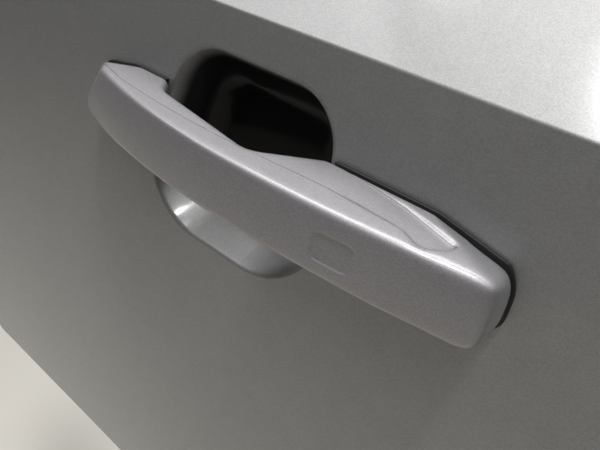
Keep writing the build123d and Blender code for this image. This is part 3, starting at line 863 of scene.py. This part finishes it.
@dataclass(frozen=True)
class PartingLine:
    """Line between the handle's cover and its back, seen from above.

    It follows the face from the pivot end, leaves it for two shallow arcs along the grip,
    rises round the leaf to its tip, and runs back behind the leaf to the heel.
    """

    left: float = -107.0 * MM  # the handle's pivot end
    left_out: float = 13.4 * MM  # how far out the face stands there
    crest: Flat = mm(10.0, 36.0)  # of the face's arch
    behind: float = 5.4 * MM  # how far behind the face the line runs at first
    leaves: float = -70.0 * MM  # where it stops following the face
    dip: Flat = mm(-58.0, 21.9)
    top: Flat = mm(-12.0, 24.4)
    middle: Flat = mm(30.0, 22.0)
    low: Flat = mm(54.0, 20.9)
    right: Flat = mm(76.0, 21.4)
    shoulder: Flat = mm(83.5, 25.2)
    belly: Flat = mm(89.8, 21.2)
    tip: Flat = mm(92.5, 14.8)
    bend: Flat = mm(70.0, 7.4)
    start: Flat = mm(46.0, 3.8)
    heel: Flat = mm(40.0, 1.0)
    past: float = 4.0 * MM  # how far the line runs on out of the handle at its two ends
    arc_steps: int = 24

    def out(self, x: float) -> float:
        """Measure how far out the face's arch stands, on its pivot side.

        Args:
            x: Place along the handle.

        Returns:
            The distance from the skin.
        """
        reach, drop = self.crest[0] - self.left, self.crest[1] - self.left_out
        radius = (reach**2 + drop**2) / (2 * drop)
        return self.crest[1] - radius + sqrt(radius**2 - (x - self.crest[0]) ** 2)

    def arc(self, a: Flat, b: Flat, c: Flat) -> list[Flat]:
        """Work out the arc from a over b to c.

        Args:
            a: Where the arc starts.
            b: A point that it passes.
            c: Where it ends.

        Returns:
            Points on the arc, without a itself.
        """
        (bx, by), (cx, cy) = (b[0] - a[0], b[1] - a[1]), (c[0] - a[0], c[1] - a[1])
        b_squared, c_squared = bx * bx + by * by, cx * cx + cy * cy
        turn = 2 * (bx * cy - by * cx)
        centre_x = a[0] + (cy * b_squared - by * c_squared) / turn
        centre_y = a[1] + (bx * c_squared - cx * b_squared) / turn
        centre = Vector((centre_x, centre_y))
        first, last = Vector(a) - centre, Vector(c) - centre
        angle = first.angle_signed(last)
        points = []
        for step in range(1, self.arc_steps + 1):
            turned = first.copy()
            turned.rotate(Matrix.Rotation(-angle * step / self.arc_steps, 2))
            points.append(tuple(centre + turned))
        return points

    def points(self) -> list[Flat]:
        """Lay the line's arcs and corners end to end.

        Returns:
            The line's points, from the pivot end to the heel.
        """
        half = (self.left + self.leaves) / 2
        begin, bow, end = ((x, self.out(x) - self.behind) for x in (self.left, half, self.leaves))
        line = [(self.left - self.past, begin[1]), begin, *self.arc(begin, bow, end), self.dip]
        line += self.arc(self.dip, self.top, self.middle)
        line += self.arc(self.middle, self.low, self.right)
        line += [self.shoulder, *self.arc(self.shoulder, self.belly, self.tip)]
        return line + [self.bend, self.start, self.heel, (self.heel[0], -self.past)]


@dataclass(kw_only=True)
class Softened:
    """Copies of CAD nodes, remeshed evenly and relaxed where the real edges are soft."""

    voxel: float
    levels: int  # steps from no softening to all of it
    guards: tuple[Guard, ...]
    weld: float = 0.001 * MM
    step: float = 0.5  # how far a pass moves a point towards the middle of its neighbours

    def welded_copy(self, *nodes: Piece) -> Piece:
        """Copy nodes into one object and weld its loose triangles.

        Args:
            nodes: The nodes.

        Returns:
            The copy, with no finish yet.
        """
        copies = [bpy.data.objects.new("soft_form", node.data.copy()) for node in nodes]
        for copy in copies:
            bpy.context.scene.collection.objects.link(copy)
        pick(*copies)
        if len(copies) > 1:
            bpy.ops.object.join()
        with edit_mode():
            bpy.ops.mesh.remove_doubles(threshold=self.weld)
        form = bpy.context.object
        form.data.materials.clear()
        return form

    def even_out(self, form: Piece) -> None:
        """Remesh a form with even faces.

        Args:
            form: The form.
        """
        remesh = form.modifiers.new("even", "REMESH")
        remesh.mode = "VOXEL"
        remesh.voxel_size = self.voxel
        apply_modifiers(form)

    def relax(
        self,
        form: Piece,
        passes: int,
        share: Callable[[Vector], float] = lambda point: 1.0,
        keep_y: bool = False,
    ) -> None:
        """Relax a form's surface where it may be soft.

        Args:
            form: The form.
            passes: How often each point moves towards its neighbours.
            share: Says how much of the softening a point takes.
            keep_y: Whether points stay as deep in the door as they are.
        """
        group = form.vertex_groups.new(name="soft")
        points: list[list[int]] = [[] for _ in range(self.levels + 1)]
        for vertex in form.data.vertices:
            held = min(guard.weight(vertex.co) for guard in self.guards)
            points[round(share(vertex.co) * held * self.levels)].append(vertex.index)
        for level in range(1, self.levels + 1):
            group.add(points[level], level / self.levels, "REPLACE")
        smooth = form.modifiers.new("relax", "SMOOTH")
        smooth.factor = self.step
        smooth.iterations = passes
        smooth.use_y = not keep_y
        smooth.vertex_group = group.name
        apply_modifiers(form)
        form.vertex_groups.clear()

    def stand_in(self, form: Piece, node: str, finish: Finish, slot: Slot, body: Body) -> Piece:
        """Let a softened form stand for its node.

        Args:
            form: The form.
            node: Name of the node.
            finish: What it is made of.
            slot: Not used.
            body: What it rides on.

        Returns:
            The finished piece.
        """
        piece = settle(form, node + "_softened")
        bpy.ops.object.shade_smooth_by_angle(angle=SMOOTH_ANGLE)
        piece.data.materials.append(finish.material())
        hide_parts(node)
        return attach(piece, body.value)


@dataclass(kw_only=True)
class SoftHandle(Softened):
    """The painted handle with the soft edges that lacquered mouldings have.

    The two painted halves are joined, remeshed finely and relaxed as one form, so that the
    crease, the corners and the ends run into each other softly. Then the parting line is cut
    again and the two halves are separate pieces as before.
    """

    voxel: float = 0.42 * MM
    levels: int = 20
    guards: tuple[Guard, ...] = (
        Guard(mm(-98, -70, -10), mm(-70, 0, 12)),  # the front arm's pocket
        Guard(mm(46, -70, -10), mm(86, 0, 12)),  # the rear arm's pocket
        Guard(mm(49, -100, -8), mm(71, -70, 9.2), fade=1.5 * MM),  # the touch dimple
        Guard(mm(46, -76.5, 10), mm(93, -56, 30), share=0.2, fade=1.5 * MM),  # the leaf
    )
    bridge: float = 0.22 * MM  # closes the parting line while the form is relaxed
    passes: int = 40
    crease_passes: int = 130
    crease_from: float = -20 * MM  # the crease is softer from here on
    crease_full: float = 60 * MM  # and softest from here on
    end_passes: int = 280
    end_left: float = -76 * MM  # the soft ends lie past these two places
    end_right: float = 80 * MM
    end_fade: float = 20 * MM
    line: PartingLine = PartingLine()
    saw: float = 0.22 * MM  # width of the parting line
    saw_height: float = 60 * MM

    def build(self, nodes: Nodes) -> list[Piece]:
        """Soften the handle and part it again.

        Args:
            nodes: The frame's objects by node name.

        Returns:
            The cover and the back.
        """
        form = self.welded_copy(nodes["handle_cover"], nodes["handle_back"])
        self.swell(form, self.bridge)
        self.even_out(form)
        self.swell(form, -self.bridge)
        self.relax(form, self.passes)
        self.relax(form, self.crease_passes, self.crease_share)
        self.relax(form, self.end_passes, self.end_share)
        return [
            self.stand_in(half, node, HANDLE_PAINT, Slot.HANDLE_PAINT, Body.HANDLE)
            for half, node in zip(self.part(form), ("handle_cover", "handle_back"))
        ]

    def swell(self, form: Piece, by: float) -> None:
        """Move the whole surface out by a small amount.

        Args:
            form: The form.
            by: The amount, below zero to move it in.
        """
        grown = form.modifiers.new("swell", "DISPLACE")
        grown.strength = by
        grown.mid_level = 0.0
        apply_modifiers(form)

    def crease_share(self, point: Vector) -> float:
        """Return how soft the crease is at a point: more towards the pull end."""
        return clamped((point.x - self.crease_from) / (self.crease_full - self.crease_from))

    def end_share(self, point: Vector) -> float:
        """Return how far a point lies in either end of the handle, from 0 to 1."""
        return clamped(max(self.end_left - point.x, point.x - self.end_right) / self.end_fade)

    def blade(self) -> Piece:
        """Stand a thin sheet on end along the parting line.

        Returns:
            The sheet, as thick as the parting line is wide.
        """
        line = [Vector((x, SKIN_Y - out, -self.saw_height / 2)) for x, out in self.line.points()]
        deselect_all()
        bpy.ops.mesh.primitive_plane_add(size=self.line.past, location=line[0])
        blade = settle(bpy.context.object, "parting_blade")
        with edit_mode():
            bpy.ops.mesh.merge(type="CENTER")
            for here, there in zip(line, line[1:]):
                bpy.ops.mesh.extrude_region_move(TRANSFORM_OT_translate={"value": there - here})
            bpy.ops.mesh.select_all(action="SELECT")
            bpy.ops.mesh.extrude_region_move(
                TRANSFORM_OT_translate={"value": (0, 0, self.saw_height)}
            )
        thick = blade.modifiers.new("thick", "SOLIDIFY")
        thick.thickness = self.saw
        thick.offset = 0.0
        apply_modifiers(blade)
        return blade

    def part(self, form: Piece) -> list[Piece]:
        """Saw the form along the parting line into its two halves.

        Args:
            form: The softened handle.

        Returns:
            The cover and the back.
        """
        blade = self.blade()
        cut = form.modifiers.new("part", "BOOLEAN")
        cut.operation = "DIFFERENCE"
        cut.solver = "EXACT"
        cut.object = blade
        apply_modifiers(form)
        bpy.data.objects.remove(blade)
        pick(form)
        bpy.ops.mesh.separate(type="LOOSE")
        *crumbs, smaller, larger = sorted(
            bpy.context.selected_objects, key=lambda piece: len(piece.data.vertices)
        )
        for crumb in crumbs:
            bpy.data.objects.remove(crumb)
        return sorted((smaller, larger), key=lambda half: min(v.co.y for v in half.data.vertices))


@dataclass(kw_only=True)
class SoftGasket(Softened):
    """A rubber pad under one foot, with its outline's corners rounded as the foot's are."""

    node: str
    voxel: float = 0.4 * MM
    levels: int = 10
    passes: int = 90

    def build(self, nodes: Nodes) -> Piece:
        """Relax the pad along the door's skin and keep its thickness.

        Args:
            nodes: The frame's objects by node name.

        Returns:
            The softened pad.
        """
        pad = self.welded_copy(nodes[self.node])
        self.even_out(pad)
        self.relax(pad, self.passes, keep_y=True)
        return self.stand_in(pad, self.node, EPDM_RUBBER, Slot.GASKET, Body.DOOR)


@dataclass(frozen=True)
class Softbox:
    """A soft area lamp."""

    name: str
    place: Point
    size: tuple[float, float]  # width and height of its face
    watts: float

    def hang(self, aim: Point) -> None:
        """Hang the lamp and turn it.

        Args:
            aim: The point that it looks at.
        """
        data = bpy.data.lights.new(self.name, "AREA")
        data.shape = "RECTANGLE"
        data.size, data.size_y = self.size
        data.energy = self.watts
        lamp = bpy.data.objects.new(self.name, data)
        bpy.context.scene.collection.objects.link(lamp)
        lamp.location = self.place
        lamp.rotation_mode = "QUATERNION"
        lamp.rotation_quaternion = (Vector(aim) - Vector(self.place)).to_track_quat("-Z", "Y")
        lamp.visible_camera = False


@dataclass
class Studio:
    """Pale floor and soft light round the door section."""

    floor_level: float = -0.80
    floor_size: float = 9.0
    floor_cells: int = 4
    floor_colour: str = "CFCBC3"
    floor_roughness: float = 0.8
    world_colour: str = "C9CBCD"
    world_strength: float = 0.11
    aim: Point = (0.0, -0.05, 0.0)
    lamps: tuple[Softbox, ...] = (
        Softbox("key_softbox", (0.17, -0.42, 1.75), (0.26, 0.26), 23.0),
        Softbox("overhead_softbox", (-0.3, 0.35, 1.6), (1.4, 0.8), 21.0),
        Softbox("left_softbox", (-1.1, -0.55, 1.3), (1.0, 1.0), 8.0),
        Softbox("rear_softbox", (0.5, 1.9, 0.6), (1.4, 1.4), 22.0),
        Softbox("front_softbox", (0.5, -1.5, 2.2), (1.2, 1.2), 12.0),
    )

    def build(self) -> None:
        """Lay the floor, light the world and hang the lamps."""
        deselect_all()
        bpy.ops.mesh.primitive_grid_add(
            x_subdivisions=self.floor_cells,
            y_subdivisions=self.floor_cells,
            size=self.floor_size,
            location=(0, 0, self.floor_level),
        )
        floor = settle(bpy.context.object, "floor")
        floor.data.materials.append(self.floor_material())
        world = bpy.data.worlds.new("studio_air")
        bpy.context.scene.world = world
        world.use_nodes = True
        background = world.node_tree.nodes["Background"]
        background.inputs["Color"].default_value = linear(self.world_colour)
        background.inputs["Strength"].default_value = self.world_strength
        for lamp in self.lamps:
            lamp.hang(self.aim)

    def floor_material(self) -> bpy.types.Material:
        """Make the pale matt floor's material.

        Returns:
            The material.
        """
        made = bpy.data.materials.new("pale_matt_floor")
        made.use_nodes = True
        surface = made.node_tree.nodes["Principled BSDF"]
        surface.inputs["Base Color"].default_value = linear(self.floor_colour)
        surface.inputs["Roughness"].default_value = self.floor_roughness
        return made


@dataclass
class PhotoCamera:
    """Camera at the photo's place, above and to the right of the handle."""

    place: Point = (0.1177, -0.2155, 0.0841)
    look: Point = (-0.425, 0.771, -0.474)
    up: Point = (-0.456, 0.270, 0.848)
    lens_mm: float = 30.0
    sensor_mm: float = 36.0
    nearest: float = 10 * MM  # nothing nearer than this shows

    def build(self) -> None:
        """Make the camera and set it as the scene's own."""
        data = bpy.data.cameras.new("photo_camera")
        data.lens = self.lens_mm
        data.sensor_width = self.sensor_mm
        data.clip_start = self.nearest
        camera = bpy.data.objects.new("photo_camera", data)
        bpy.context.scene.collection.objects.link(camera)
        back = -Vector(self.look).normalized()
        right = Vector(self.up).cross(back).normalized()
        rise = back.cross(right)
        turned = Matrix((right, rise, back)).transposed().to_4x4()
        camera.matrix_world = Matrix.Translation(Vector(self.place)) @ turned
        bpy.context.scene.camera = camera


def main() -> None:
    """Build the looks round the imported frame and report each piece."""
    logging.basicConfig(level=logging.INFO, format="%(name)s: %(message)s")
    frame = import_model()
    nodes = frame["nodes"]
    Dressed(
        {
            "door_skin": DOOR_PAINT,
            "carrier": GLASS_FILLED_NYLON,
            "pivot_pin": GROUND_STEEL,
            "lever_pin": GROUND_STEEL,
            "skin_screws": GROUND_STEEL,
            "pivot_arm": ARM_NYLON,
            "pull_arm": ARM_NYLON,
            "lever": ACETAL,
            "counterweight": DIE_CAST_ZINC,
        }
    ).build(nodes)
    front_hold = Guard(mm(-99.5, -100, -12.5), mm(-66.5, 100, 12.5))
    rear_hold = Guard(mm(44, -100, -12.5), mm(88, 100, 12.5))
    made = [
        *SoftHandle().build(nodes),
        SoftGasket(node="front_gasket", guards=(front_hold,)).build(nodes),
        SoftGasket(node="rear_gasket", guards=(rear_hold,)).build(nodes),
        ReturnSpring().build(),
        *PinHeads().build(),
    ]
    for piece in made:
        LOG.info("made %s with %d faces", piece.name, len(piece.data.polygons))
    Studio().build()
    PhotoCamera().build()
    bpy.context.scene.view_settings.view_transform = "Standard"


if __name__ == "__main__":
    main()
